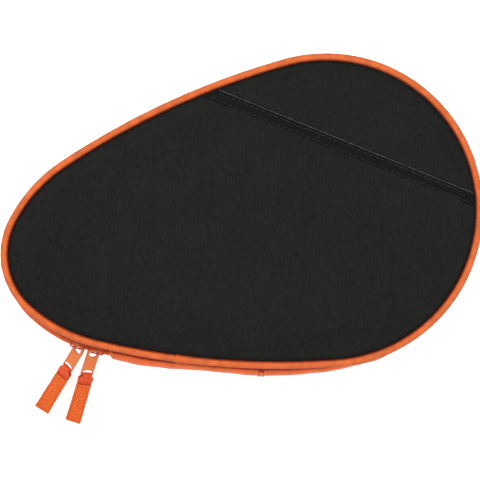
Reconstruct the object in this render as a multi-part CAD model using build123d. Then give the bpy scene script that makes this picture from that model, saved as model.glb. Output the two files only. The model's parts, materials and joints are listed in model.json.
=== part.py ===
from build123d import *
from math import asin, atan2, cos, degrees, hypot, radians, sin, sqrt
import os

# A soft, egg-shaped case for a table-tennis racket. It lies on its back panel.
# +X runs along the case to its wide head, -Y is the side with the fabric hinge
# and the two zip sliders, +Z is the thickness. The origin is the middle of the
# back panel's flat face. Millimetres throughout.

# Panel outline: an egg made of six tangent arcs, symmetric about X
HALF_LENGTH = 146.4
HEAD_R = 92.9
SIDE_R = 485.0
HEEL_R = 92.3
TAIL_R = 42.7
TAIL_HALF_ANGLE = 37.6

# Thickness, with the zip and the hinge in the middle plane
THICKNESS = 38.0
MID_Z = THICKNESS / 2

# Where the fabric hinge starts and ends, as the direction of the outline's normal
HINGE_START = 247.56
HINGE_END = 296.0
FULL_TURN = 360.0
SMALLEST_ARC = 1e-6
POINT_ARC = 1e-3

# Layers of a padded panel
SKIN = 0.8
FOAM = 4.0
LINING = 0.6
PANEL_EDGE_HEIGHT = 4.2
PANEL_EDGE_ROUND = 3.0
LAYER_GAP = 0.05
FOAM_INSET = 1.75
FOAM_ROUND = 2.0
LINING_INSET = 0.6
HALF_GAP = 0.2

# Piping: a fabric tube over a cord, sewn round the edge of each panel
PIPING_R = 2.1
PIPING_CORE_R = 1.4
PIPING_OFFSET = 2.4
PIPING_DEPTH = 3.6
PIPING_JOINT_AT = 252.8
PIPING_JOINT_LENGTH = 7.0
PIPING_JOINT_SKIN = 0.2

# Zip: a tape with a coil along its edge on each half
TAPE_INNER = 1.0
TAPE_THICK = 0.8
COIL_THICK = 1.6
COIL_HEIGHT = 2.4
CHAIN_GAP = 0.6
ZIP_END_GAP = 0.12

# Hinge gusset: a band of fabric that bulges out between the two rows of piping
GUSSET_EDGE_OFFSET = 1.3
GUSSET_BULGE = 5.9
GUSSET_THICK = 1.1
GUSSET_MARGIN = 0.5
GUSSET_SEAM_AT = 258.7
GUSSET_SEAM_WIDTH = 3.2
GUSSET_SEAM_THICK = 0.7
GUSSET_SEAM_INSET = 1.5

# Front pocket: a second skin below a slanted mouth, hemmed along the mouth
POCKET_ANGLE = -32.1
POCKET_MOUTH_POINT = (74.4, 39.1)
HEM_WIDTH = 7.6
HEM_THICK = 1.1
STITCH_ROWS = (2.2, 6.4)
STITCH_WIDTH = 0.6
STITCH_HEIGHT = 0.3
STITCH_END_INSET = 5.0

# Sliders
SLIDER_LENGTH = 10.4
SLIDER_NOSE_HEIGHT = 8.4
SLIDER_TAIL_HEIGHT = 6.9
SLIDER_WALL = 1.1
SLIDER_INNER_WALL = 0.8
SLIDER_OUTER = 4.3
SLIDER_INNER = 0.4
SLIDER_FLANGE_TOP = -3.4
SLIDER_FLANGE_WALL = 0.7
SLIDER_CLEARANCE = 0.4
SLIDER_ROUND = 1.0
SLIDER_POST = 2.2
SLIDER_POST_HEIGHT = 0.7
BAIL_R = 0.5
BAIL_HALF_SPAN = 4.6
BAIL_RISE = 3.3
BAIL_CORNER = 1.2

# Pulls: a painted metal plate threaded on the bail, and a fabric tag looped
# through the plate's slot
PLATE_WIDTH = 8.8
PLATE_THICK = 0.8
PLATE_TOP = 2.15
PLATE_BAR_AT = 15.8
PLATE_BAR_HALF = 0.6
PLATE_CORNER = 1.6
HOLE_WIDTH = 5.0
HOLE_TOP = 0.8
HOLE_BOTTOM = 2.7
HOLE_ROUND = 1.6
SLOT_WIDTH = 7.0
SLOT_HEIGHT = 2.8
SLOT_ARCH = 1.0
PULL_SLOPE = 21.3
TAG_WIDTH = 10.0
TAG_THICK = 1.6
TAG_LENGTH = 33.6
TAG_START = 1.45
LOOP_WIDTH = 6.4
LOOP_INNER = 0.95
LOOP_OUTER = 1.75
NECK_END = 3.0
NECK_THICK = 1.0
TAG_SEAM_AT = 6.2
TAG_SEAM_WIDTH = 0.5
TAG_SEAM_THICK = 0.15
TAG_SEAM_INSET = 0.7

# Each pull: the slider's place on the outline, the way its nose points (1 is to
# the tail), where the plate hangs on the bail, counted towards the hinge, the
# plate's direction in plan, and how far it is rolled about its length
PULLS = {
    "a": {"at": 240.36, "nose": 1, "shift": 1.5, "heading": 228.0, "roll": -33.0},
    "b": {"at": 246.6, "nose": -1, "shift": -1.5, "heading": 241.4, "roll": 33.0},
}

HEAD = (HALF_LENGTH - HEAD_R, 0.0)
TAIL = (TAIL_R - HALF_LENGTH, 0.0)
HEEL = (
    TAIL[0] + (HEEL_R - TAIL_R) * cos(radians(TAIL_HALF_ANGLE)),
    (HEEL_R - TAIL_R) * sin(radians(TAIL_HALF_ANGLE)),
)


def side_centre():
    """Centre of the long lower arc, tangent inside to the head and heel arcs."""
    head_reach = SIDE_R - HEAD_R
    heel_reach = SIDE_R - HEEL_R
    dx = HEEL[0] - HEAD[0]
    dy = HEEL[1] - HEAD[1]
    span = hypot(dx, dy)
    along = (head_reach**2 - heel_reach**2 + span**2) / (2 * span)
    across = sqrt(head_reach**2 - along**2)
    return (
        HEAD[0] + (along * dx + across * dy) / span,
        HEAD[1] + (along * dy - across * dx) / span,
    )


def direction(start, end):
    return degrees(atan2(end[1] - start[1], end[0] - start[0])) % FULL_TURN


def mirrored(point):
    return (point[0], -point[1])


SIDE = side_centre()
SIDE_TO_HEAD = direction(SIDE, HEAD)
SIDE_TO_HEEL = direction(SIDE, HEEL)

# The outline, counter-clockwise, as (centre, radius, first normal, last normal)
ARCS = [
    (HEAD, HEAD_R, SIDE_TO_HEAD - FULL_TURN, FULL_TURN - SIDE_TO_HEAD),
    (mirrored(SIDE), SIDE_R, FULL_TURN - SIDE_TO_HEAD, FULL_TURN - SIDE_TO_HEEL),
    (mirrored(HEEL), HEEL_R, FULL_TURN - SIDE_TO_HEEL, 180 - TAIL_HALF_ANGLE),
    (TAIL, TAIL_R, 180 - TAIL_HALF_ANGLE, 180 + TAIL_HALF_ANGLE),
    (HEEL, HEEL_R, 180 + TAIL_HALF_ANGLE, SIDE_TO_HEEL),
    (SIDE, SIDE_R, SIDE_TO_HEEL, SIDE_TO_HEAD),
]
WHOLE = (ARCS[0][2], ARCS[0][2] + FULL_TURN)


def arcs_between(first, last):
    """The outline's arcs between two normal directions, cut to length."""
    found = []
    for turn in (-FULL_TURN, 0.0, FULL_TURN):
        for centre, radius, start, end in ARCS:
            low = max(start + turn, first)
            high = min(end + turn, last)
            if high - low > SMALLEST_ARC:
                found.append((centre, radius, low, high))
    return sorted(found, key=lambda arc: arc[2])


def point_at(normal, offset=0.0, z=0.0):
    centre, radius, _, _ = arcs_between(normal - POINT_ARC, normal + POINT_ARC)[0]
    reach = radius + offset
    return Vector(
        centre[0] + reach * cos(radians(normal)),
        centre[1] + reach * sin(radians(normal)),
        z,
    )


def outline(offset):
    """The panel outline as a face, moved outwards by offset."""
    edges = [
        CenterArc(centre, radius + offset, start, end - start)
        for centre, radius, start, end in ARCS
    ]
    return make_face(edges)


def slab(offset, low, high):
    return Pos(0, 0, low) * extrude(outline(offset), high - low)


def ring(profile, first, last):
    """A profile drawn as (offset, z), carried along the outline between two normals."""
    body = None
    for centre, radius, start, end in arcs_between(first, last):
        x_dir = (cos(radians(start)), sin(radians(start)), 0)
        plane = Plane(
            origin=(centre[0], centre[1], 0),
            x_dir=x_dir,
            z_dir=(x_dir[1], -x_dir[0], 0),
        )
        axis = Axis((centre[0], centre[1], 0), (0, 0, 1))
        piece = revolve(plane * Pos(radius, 0) * profile, axis, end - start)
        body = piece if body is None else body + piece
    return body


def strip(offset, thick, low, high):
    """A rectangular ring profile."""
    middle = ((offset + thick / 2), (low + high) / 2)
    return Pos(*middle) * Rectangle(thick, high - low)


def flip(shape):
    """The same piece on the other half of the case."""
    return Pos(0, 0, THICKNESS) * mirror(shape, Plane.XY)


def dome(offset, low, high, rounding):
    """A slab whose top edge is rounded all round."""
    body = slab(offset, low, high)
    return fillet(body.faces().sort_by(Axis.Z)[-1].edges(), rounding)


def panel(top, inset):
    """A skin of constant thickness with a turned-down rounded edge."""
    low = THICKNESS - PANEL_EDGE_HEIGHT
    outer = dome(-inset, low, top, PANEL_EDGE_ROUND)
    inner = dome(-inset - SKIN, low - 1, top - SKIN, PANEL_EDGE_ROUND - SKIN)
    return outer - inner


def foam(top):
    low = top - FOAM
    return dome(-FOAM_INSET - LAYER_GAP, low, top, FOAM_ROUND)


def lining(top):
    """A shallow tray: a floor under the foam and a wall down to the middle plane."""
    outer = slab(-LINING_INSET - FOAM_INSET, MID_Z + HALF_GAP, top)
    inner = slab(-LINING_INSET - FOAM_INSET - LINING, MID_Z, top - LINING)
    return outer - inner


def piping():
    at = Pos(PIPING_OFFSET, THICKNESS - PIPING_DEPTH)
    tube = at * (Circle(PIPING_R) - Circle(PIPING_CORE_R + LAYER_GAP))
    return ring(tube, *WHOLE)


def piping_core():
    at = Pos(PIPING_OFFSET, THICKNESS - PIPING_DEPTH)
    return ring(at * Circle(PIPING_CORE_R), *WHOLE)


def piping_joint():
    """The sleeve where the ends of the piping meet."""
    half = degrees(PIPING_JOINT_LENGTH / 2 / SIDE_R)
    at = Pos(PIPING_OFFSET, THICKNESS - PIPING_DEPTH)
    inner = PIPING_R + LAYER_GAP
    sleeve = at * (Circle(inner + PIPING_JOINT_SKIN) - Circle(inner))
    return ring(sleeve, PIPING_JOINT_AT - half, PIPING_JOINT_AT + half)


ZIP_SPAN = (HINGE_END + ZIP_END_GAP, HINGE_START - ZIP_END_GAP + FULL_TURN)
TAPE_TOP = THICKNESS - PIPING_DEPTH - PIPING_R - LAYER_GAP
CHAIN_LOW = MID_Z + CHAIN_GAP


def zip_tape():
    return ring(strip(TAPE_INNER, TAPE_THICK, CHAIN_LOW, TAPE_TOP), *ZIP_SPAN)


def zip_coil():
    start = TAPE_INNER + TAPE_THICK + LAYER_GAP
    return ring(strip(start, COIL_THICK, CHAIN_LOW, CHAIN_LOW + COIL_HEIGHT), *ZIP_SPAN)


def gusset_profile(offset, bulge, thick, reach):
    """A bowed strip between the two rows of piping, drawn as (offset, z)."""
    low = (offset, MID_Z - reach)
    high = (offset, MID_Z + reach)
    outer = ThreePointArc(low, (offset + bulge, MID_Z), high)
    inner_low = (offset - thick, MID_Z - reach)
    inner_high = (offset - thick, MID_Z + reach)
    inner = ThreePointArc(inner_high, (offset + bulge - thick, MID_Z), inner_low)
    return make_face([outer, Line(high, inner_high), inner, Line(inner_low, low)])


GUSSET_REACH = TAPE_TOP - MID_Z - GUSSET_MARGIN


def gusset(first, last):
    offset = GUSSET_EDGE_OFFSET + GUSSET_THICK
    return ring(gusset_profile(offset, GUSSET_BULGE, GUSSET_THICK, GUSSET_REACH), first, last)


def gusset_seam():
    """The short lapped strip that covers the joint between the gusset's two lengths."""
    half = degrees(GUSSET_SEAM_WIDTH / 2 / SIDE_R)
    offset = GUSSET_EDGE_OFFSET + GUSSET_THICK + GUSSET_SEAM_THICK + LAYER_GAP
    profile = gusset_profile(offset, GUSSET_BULGE, GUSSET_SEAM_THICK, GUSSET_REACH)
    height = 2 * (GUSSET_REACH - GUSSET_SEAM_INSET)
    profile = profile & Pos(offset, MID_Z) * Rectangle(4 * GUSSET_BULGE, height)
    return ring(profile, GUSSET_SEAM_AT - half, GUSSET_SEAM_AT + half)


MOUTH = Location((POCKET_MOUTH_POINT[0], POCKET_MOUTH_POINT[1], 0), (0, 0, POCKET_ANGLE))
FRONT_TOP = THICKNESS - SKIN - LAYER_GAP


def mouth_band(start, end, low, high):
    """A long bar parallel to the pocket mouth, from start to end below its fold."""
    length = 4 * HALF_LENGTH
    middle = Pos(0, -(start + end) / 2, (low + high) / 2)
    return MOUTH * middle * Box(length, end - start, high - low)


def pocket_panel():
    below = mouth_band(HEM_WIDTH + LAYER_GAP, 3 * HALF_LENGTH, 0, 2 * THICKNESS)
    return panel(THICKNESS, 0) & below


def pocket_hem():
    """The mouth's edge, folded double, which stands a little proud."""
    top = FRONT_TOP + LAYER_GAP + HEM_THICK
    bar = mouth_band(0, HEM_WIDTH, FRONT_TOP + LAYER_GAP, top)
    return bar & slab(-PANEL_EDGE_ROUND, 0, 2 * THICKNESS)


def pocket_stitching():
    """Two rows of sewing along the hem."""
    base = FRONT_TOP + LAYER_GAP + HEM_THICK + LAYER_GAP
    rows = [
        mouth_band(row - STITCH_WIDTH / 2, row + STITCH_WIDTH / 2, base, base + STITCH_HEIGHT)
        for row in STITCH_ROWS
    ]
    inside = slab(-STITCH_END_INSET, 0, 2 * THICKNESS)
    return Compound([(row & inside).solid() for row in rows])


def slider_plane(pull):
    """x runs along the chain towards the tail, y is the offset from the panel edge."""
    normal = radians(pull["at"])
    return Plane(
        origin=point_at(pull["at"], 0, MID_Z),
        x_dir=(sin(normal), -cos(normal), 0),
        z_dir=(0, 0, 1),
    )


def slider_wing(low, high, nose):
    """One plate of the slider, wide at the nose, which points along nose."""
    half = SLIDER_LENGTH / 2
    tall = SLIDER_NOSE_HEIGHT / 2
    short = SLIDER_TAIL_HEIGHT / 2
    front = nose * half
    corners = [(front, tall), (-front, short), (-front, -short), (front, -tall)]
    face = make_face(Polyline(*corners, close=True))
    face = fillet(face.vertices(), SLIDER_ROUND)
    sheet = Plane(origin=(0, low, 0), x_dir=(1, 0, 0), z_dir=(0, 1, 0)) * face
    return extrude(sheet, high - low, dir=(0, 1, 0))


def slider_body(pull):
    nose = pull["nose"]
    half = SLIDER_LENGTH / 2
    outer = slider_wing(SLIDER_OUTER, SLIDER_OUTER + SLIDER_WALL, nose)
    inner = slider_wing(SLIDER_INNER - SLIDER_INNER_WALL, SLIDER_INNER, nose)
    flange_depth = SLIDER_OUTER - TAPE_INNER - TAPE_THICK - SLIDER_CLEARANCE
    flange_z = SLIDER_FLANGE_TOP - SLIDER_FLANGE_WALL / 2
    flange_length = SLIDER_LENGTH - 2 * SLIDER_ROUND
    flange = Pos(0, SLIDER_OUTER - flange_depth / 2, flange_z)
    flange = flange * Box(flange_length, flange_depth, SLIDER_FLANGE_WALL)
    post_at = nose * (half - SLIDER_POST / 2 - SLIDER_CLEARANCE)
    depth = SLIDER_OUTER - SLIDER_INNER
    post = Pos(post_at, SLIDER_INNER + depth / 2, 0)
    post = post * Box(SLIDER_POST, depth, SLIDER_POST_HEIGHT)
    return slider_plane(pull) * (outer + inner + flange + post)


BAIL_BASE = SLIDER_OUTER + SLIDER_WALL
BAIL_CROWN = BAIL_BASE + BAIL_RISE


def slider_bail(pull):
    """A wire arch on the slider, whose straight crown carries the plate."""
    path = FilletPolyline(
        (-BAIL_HALF_SPAN, BAIL_BASE),
        (-BAIL_HALF_SPAN, BAIL_CROWN),
        (BAIL_HALF_SPAN, BAIL_CROWN),
        (BAIL_HALF_SPAN, BAIL_BASE),
        radius=BAIL_CORNER,
    )
    wire = Plane(origin=(-BAIL_HALF_SPAN, BAIL_BASE, 0), z_dir=(0, 1, 0)) * Circle(BAIL_R)
    return slider_plane(pull) * sweep(wire, path)


def pull_frame(pull, roll):
    """Width, length and face directions of a pull that slopes down from its bail."""
    heading = radians(pull["heading"])
    slope = radians(PULL_SLOPE)
    level = Vector(-sin(heading), cos(heading), 0)
    up = Vector(sin(slope) * cos(heading), sin(slope) * sin(heading), cos(slope))
    turn = radians(roll)
    width = level * cos(turn) - up * sin(turn)
    face = up * cos(turn) + level * sin(turn)
    return width, face


def crown_point(pull):
    return slider_plane(pull).from_local_coords(Vector(-pull["shift"], BAIL_CROWN, 0))


def pull_plane(pull, along=0.0, untwisted=0.0):
    """x is the pull's width and -y its length, from the crown of the bail."""
    width, face = pull_frame(pull, pull["roll"] * (1 - untwisted))
    origin = crown_point(pull) - face.cross(width) * along
    return Plane(origin=origin, x_dir=width, z_dir=face)


def across_pull(pull, along, untwisted):
    """A plane square to the pull's length, with x as its width."""
    plane = pull_plane(pull, along, untwisted)
    return Plane(origin=plane.origin, x_dir=plane.x_dir, z_dir=-plane.y_dir)


def pull_plate(pull):
    height = PLATE_TOP + PLATE_BAR_AT + PLATE_BAR_HALF
    body = Pos(0, PLATE_TOP - height / 2) * RectangleRounded(PLATE_WIDTH, height, PLATE_CORNER)
    hole_height = HOLE_TOP + HOLE_BOTTOM
    hole = Pos(0, HOLE_TOP - hole_height / 2) * RectangleRounded(HOLE_WIDTH, hole_height, HOLE_ROUND)
    slot_low = PLATE_BAR_HALF - PLATE_BAR_AT
    half = SLOT_WIDTH / 2
    side = slot_low + SLOT_HEIGHT - SLOT_ARCH
    slot = make_face(
        [
            Line((-half, slot_low), (half, slot_low)),
            Line((half, slot_low), (half, side)),
            ThreePointArc((half, side), (0, side + SLOT_ARCH), (-half, side)),
            Line((-half, side), (-half, slot_low)),
        ]
    )
    plate = extrude(body - hole - slot, PLATE_THICK / 2, both=True)
    return pull_plane(pull) * plate


def pull_tag(pull):
    """A loop round the plate's bar, and a doubled strap that untwists to lie flat."""
    bar = pull_plane(pull, PLATE_BAR_AT)
    outer = extrude(Circle(LOOP_OUTER), LOOP_WIDTH / 2, both=True)
    inner = extrude(Circle(LOOP_INNER), LOOP_WIDTH, both=True)
    neck_middle = (LOOP_INNER + NECK_END) / 2
    neck = Pos(0, -neck_middle) * Box(LOOP_WIDTH, NECK_END - LOOP_INNER, NECK_THICK)
    lying = Rot(0, 90, 0)
    loop = bar * (lying * (outer - inner) + (neck - lying * inner))
    section = Rectangle(TAG_WIDTH, TAG_THICK)
    start = across_pull(pull, PLATE_BAR_AT + TAG_START, 0) * section
    end = across_pull(pull, PLATE_BAR_AT + TAG_LENGTH, 1) * section
    return loop + loft([start, end], ruled=True)


def pull_tag_seam(pull):
    """The sewn line across the tag that closes its loop."""
    untwisted = (TAG_SEAM_AT - TAG_START) / (TAG_LENGTH - TAG_START)
    plane = pull_plane(pull, PLATE_BAR_AT + TAG_SEAM_AT, untwisted)
    lift = TAG_THICK / 2 + TAG_SEAM_THICK / 2 + LAYER_GAP
    bar = Box(TAG_WIDTH - 2 * TAG_SEAM_INSET, TAG_SEAM_WIDTH, TAG_SEAM_THICK)
    return plane * Pos(0, 0, lift) * bar


def hinge_nodes():
    seam = GUSSET_SEAM_AT
    return {
        "gusset_tail_length": gusset(HINGE_START, seam),
        "gusset_head_length": gusset(seam, HINGE_END),
        "gusset_seam_strip": gusset_seam(),
    }


def half_nodes():
    """The front half's pieces that the back half repeats, mirrored."""
    return {
        "piping": piping(),
        "piping_core": piping_core(),
        "piping_joint": piping_joint(),
        "zip_tape": zip_tape(),
        "zip_coil": zip_coil(),
    }


def nodes():
    made = dict(hinge_nodes())
    for name, shape in half_nodes().items():
        made[f"front_{name}"] = shape
        made[f"back_{name}"] = flip(shape)
    made["front_panel"] = panel(FRONT_TOP, SKIN + LAYER_GAP)
    made["front_foam"] = foam(FRONT_TOP - SKIN - LAYER_GAP)
    made["front_lining"] = lining(FRONT_TOP - SKIN - FOAM - 2 * LAYER_GAP)
    made["back_panel"] = flip(panel(THICKNESS, 0))
    made["back_foam"] = flip(foam(THICKNESS - SKIN - LAYER_GAP))
    made["back_lining"] = flip(lining(THICKNESS - SKIN - FOAM - 2 * LAYER_GAP))
    made["pocket_panel"] = pocket_panel()
    made["pocket_hem"] = pocket_hem()
    made["pocket_stitching"] = pocket_stitching()
    for letter, pull in PULLS.items():
        made[f"slider_{letter}_body"] = slider_body(pull)
        made[f"slider_{letter}_bail"] = slider_bail(pull)
        made[f"pull_{letter}_plate"] = pull_plate(pull)
        made[f"pull_{letter}_tag"] = pull_tag(pull)
        made[f"pull_{letter}_tag_seam"] = pull_tag_seam(pull)
    return made


os.makedirs("parts", exist_ok=True)
for node, shape in nodes().items():
    export_step(shape, f"parts/{node}.step")
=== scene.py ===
import json
from math import atan2, cos, degrees, hypot, pi, radians, sin, sqrt, tau

import bmesh
import bpy
import numpy as np
from mathutils import Matrix, Vector, noise
from mathutils.bvhtree import BVHTree


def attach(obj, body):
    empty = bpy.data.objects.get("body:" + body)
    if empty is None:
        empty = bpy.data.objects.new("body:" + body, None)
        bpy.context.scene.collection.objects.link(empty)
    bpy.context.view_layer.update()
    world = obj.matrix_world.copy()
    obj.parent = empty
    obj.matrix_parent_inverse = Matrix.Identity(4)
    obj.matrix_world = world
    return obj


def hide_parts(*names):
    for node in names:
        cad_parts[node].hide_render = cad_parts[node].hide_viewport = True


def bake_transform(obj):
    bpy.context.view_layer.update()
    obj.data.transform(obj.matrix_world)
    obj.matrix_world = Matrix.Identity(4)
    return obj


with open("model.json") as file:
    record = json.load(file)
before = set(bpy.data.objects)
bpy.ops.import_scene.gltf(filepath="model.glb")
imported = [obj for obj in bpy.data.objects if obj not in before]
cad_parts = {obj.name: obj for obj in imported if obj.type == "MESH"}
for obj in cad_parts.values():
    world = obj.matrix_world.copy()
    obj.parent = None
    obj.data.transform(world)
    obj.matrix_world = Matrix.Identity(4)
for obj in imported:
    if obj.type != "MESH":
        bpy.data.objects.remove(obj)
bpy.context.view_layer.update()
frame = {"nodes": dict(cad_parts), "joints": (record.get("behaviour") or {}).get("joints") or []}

# The case's outline, as in the CAD model: six tangent arcs, in metres and degrees.
# A place on it is given by the direction of its normal, an offset and a height.
HALF_LENGTH = 0.1464
HEAD_R = 0.0929
SIDE_R = 0.485
HEEL_R = 0.0923
TAIL_R = 0.0427
TAIL_HALF_ANGLE = 37.6
THICKNESS = 0.038
MID_Z = THICKNESS / 2
FULL_TURN = 360.0
HINGE_START = 247.56
HINGE_END = 296.0
FRONT = 1
BACK = -1

HEAD = (HALF_LENGTH - HEAD_R, 0.0)
TAIL = (TAIL_R - HALF_LENGTH, 0.0)
HEEL = (
    TAIL[0] + (HEEL_R - TAIL_R) * cos(radians(TAIL_HALF_ANGLE)),
    (HEEL_R - TAIL_R) * sin(radians(TAIL_HALF_ANGLE)),
)


def side_centre():
    """Centre of the long lower arc, tangent inside to the head and heel arcs."""
    head_reach = SIDE_R - HEAD_R
    heel_reach = SIDE_R - HEEL_R
    dx = HEEL[0] - HEAD[0]
    dy = HEEL[1] - HEAD[1]
    span = hypot(dx, dy)
    along = (head_reach**2 - heel_reach**2 + span**2) / (2 * span)
    across = sqrt(head_reach**2 - along**2)
    return (
        HEAD[0] + (along * dx + across * dy) / span,
        HEAD[1] + (along * dy - across * dx) / span,
    )


def direction(start, end):
    return degrees(atan2(end[1] - start[1], end[0] - start[0])) % FULL_TURN


SIDE = side_centre()
TO_HEAD = direction(SIDE, HEAD)
TO_HEEL = direction(SIDE, HEEL)

# Counter-clockwise from the head: centre x, centre y, radius, first normal
ARCS = np.array(
    [
        (*HEAD, HEAD_R, TO_HEAD - FULL_TURN),
        (SIDE[0], -SIDE[1], SIDE_R, FULL_TURN - TO_HEAD),
        (HEEL[0], -HEEL[1], HEEL_R, FULL_TURN - TO_HEEL),
        (*TAIL, TAIL_R, 180 - TAIL_HALF_ANGLE),
        (*HEEL, HEEL_R, 180 + TAIL_HALF_ANGLE),
        (*SIDE, SIDE_R, TO_HEEL),
    ]
)
FIRST_NORMAL = ARCS[0, 3]
KNOT_NORMALS = np.concatenate([ARCS[:, 3] + turn * FULL_TURN for turn in (-1, 0, 1, 2)])
KNOT_STEPS = np.radians(np.diff(KNOT_NORMALS)) * np.tile(ARCS[:, 2], 4)[:-1]
KNOT_LENGTHS = np.concatenate([[0.0], np.cumsum(KNOT_STEPS)])


def length_at(normal):
    return np.interp(normal, KNOT_NORMALS, KNOT_LENGTHS)


def normal_at(length):
    return np.interp(length, KNOT_LENGTHS, KNOT_NORMALS)


PERIMETER = length_at(FULL_TURN) - length_at(0)


def evenly(first, last, step):
    """Normals from first to last, spaced evenly along the outline."""
    start, end = length_at(first), length_at(last)
    count = max(2, round((end - start) / step))
    return normal_at(np.linspace(start, end, count + 1))


def place(normals, offsets, heights):
    """Points on the outline's normals, moved outwards by offsets, at these heights."""
    turned = FIRST_NORMAL + (np.asarray(normals, float) - FIRST_NORMAL) % FULL_TURN
    which = np.searchsorted(ARCS[:, 3], turned, side="right") - 1
    reach = ARCS[which, 2] + offsets
    x = ARCS[which, 0] + reach * np.cos(np.radians(turned))
    y = ARCS[which, 1] + reach * np.sin(np.radians(turned))
    return np.stack(np.broadcast_arrays(x, y, heights), axis=-1)


# How far the outline reaches each way, by quarter degrees
SUPPORT_NORMALS = np.arange(0, FULL_TURN, 0.25)
SUPPORT_ANGLES = np.radians(SUPPORT_NORMALS)
SUPPORT_UNITS = np.stack([np.cos(SUPPORT_ANGLES), np.sin(SUPPORT_ANGLES)])
SUPPORT = (place(SUPPORT_NORMALS, 0.0, 0.0)[:, :2].T * SUPPORT_UNITS).sum(0)


def offset_of(points):
    """How far points lie outside the outline, negative inside it."""
    return (points[:, :2] @ SUPPORT_UNITS - SUPPORT).max(1)


def smooth(x):
    x = np.clip(x, 0, 1)
    return x * x * (3 - 2 * x)


def round_end(x):
    """A quarter circle from 0 up to 1."""
    return np.sqrt(1 - (1 - np.clip(x, 0, 1)) ** 2)


def rough(points, sizes, seed):
    """Smooth noise from about -1 to 1 whose bumps have these sizes."""
    flat = np.asarray(points, float).reshape(-1, 3) / np.asarray(sizes, float)
    shift = Vector((seed * 7.31, seed * 3.17, seed * 5.53))
    return np.array([noise.noise(Vector(p) + shift) for p in flat]).reshape(points.shape[:-1])


def uneven(points, *layers):
    """Noise in layers, each with the sizes of its bumps, a seed and its height."""
    return sum(rough(points, sizes, seed) * height for sizes, seed, height in layers)


def wander(seed, along, size):
    """Noise along a line whose bumps have this size."""
    return noise.noise(Vector((along / size, *seed)))


# Meshes


def link(name, mesh, *materials):
    obj = bpy.data.objects.new(name, mesh)
    bpy.context.scene.collection.objects.link(obj)
    for material in materials:
        mesh.materials.append(material)
    return obj


def points_of(obj):
    return np.array([v.co for v in obj.data.vertices])


def set_points(obj, points):
    obj.data.vertices.foreach_set("co", points.ravel())
    obj.data.update()


def new_piece(name, vertices, faces, material, maps=None, outward=False):
    """A smooth mesh. maps holds pairs for each face corner; outward turns a closed mesh's faces out."""
    mesh = bpy.data.meshes.new(name)
    mesh.from_pydata(np.asarray(vertices).reshape(-1, 3).tolist(), [], [list(f) for f in faces])
    for title, pairs in (maps or {}).items():
        layer = mesh.uv_layers.new(name=title)
        layer.data.foreach_set("uv", np.asarray(pairs, np.float32).ravel())
    if outward:
        edit = bmesh.new()
        edit.from_mesh(mesh)
        bmesh.ops.recalc_face_normals(edit, faces=edit.faces)
        edit.to_mesh(mesh)
        edit.free()
    mesh.shade_smooth()
    return link(name, mesh, material)


def net(rows, columns, loop_rows, loop_columns):
    """The quads of a net of points, and the row and column of each quad's corners."""
    r = np.arange(rows if loop_rows else rows - 1)[:, None]
    c = np.arange(columns if loop_columns else columns - 1)[None, :]
    row = np.stack(np.broadcast_arrays(r, r + 1, r + 1, r), -1)
    row = np.broadcast_to(row, (r.size, c.size, 4)).reshape(-1, 4)
    column = np.broadcast_to(np.stack([c, c, c + 1, c + 1], -1), (r.size, c.size, 4)).reshape(-1, 4)
    return (row % rows) * columns + column % columns, row, column


def steps_along(points, closed):
    """Distance travelled along a row of points, with the closing step where it is closed."""
    path = np.concatenate([points, points[:1]]) if closed else points
    return np.concatenate([[0.0], np.cumsum(np.linalg.norm(np.diff(path, axis=0), axis=1))])


def swept(name, points, material, loop_path=False, loop_section=True, capped=False):
    """A skin through rows of points, one row to each station of a path."""
    rows, columns = points.shape[:2]
    quads, row, column = net(rows, columns, loop_path, loop_section)
    along = steps_along(points[:, 0], loop_path)
    across = steps_along(points[rows // 2], loop_section)
    last = columns if loop_section else columns - 1
    maps = {
        "along": np.stack([along[row], across[column]], -1).reshape(-1, 2),
        "share": np.stack([row / rows, column / last], -1).reshape(-1, 2),
    }
    faces = quads.tolist()
    if capped:
        faces += [list(range(columns)), list(range((rows - 1) * columns, rows * columns))]
        maps = {title: np.concatenate([pairs, np.zeros((2 * columns, 2))]) for title, pairs in maps.items()}
    closed = loop_section and (loop_path or capped)
    return new_piece(name, points, faces, material, maps, outward=closed)


def settle(obj):
    """Turns an object's modifiers into its mesh."""
    evaluated = obj.evaluated_get(bpy.context.evaluated_depsgraph_get())
    mesh = bpy.data.meshes.new_from_object(evaluated)
    obj.modifiers.clear()
    obj.data = mesh
    return obj


def thicken(obj, thickness, offset=-1.0):
    shell = obj.modifiers.new("thickness", "SOLIDIFY")
    shell.thickness = thickness
    shell.offset = offset
    shell.use_even_offset = True
    return settle(obj)


def subdivide(obj):
    finer = obj.modifiers.new("finer", "SUBSURF")
    finer.levels = 1
    finer.render_levels = 1
    return settle(obj)


def surface_of(obj):
    return BVHTree.FromObject(obj, bpy.context.evaluated_depsgraph_get())


def height_on(tree, x, y, fallback):
    """Height of a surface above a point of the floor."""
    hit = tree.ray_cast(Vector((x, y, 1.0)), Vector((0, 0, -1)))
    return hit[0].z if hit[0] else fallback


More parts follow.
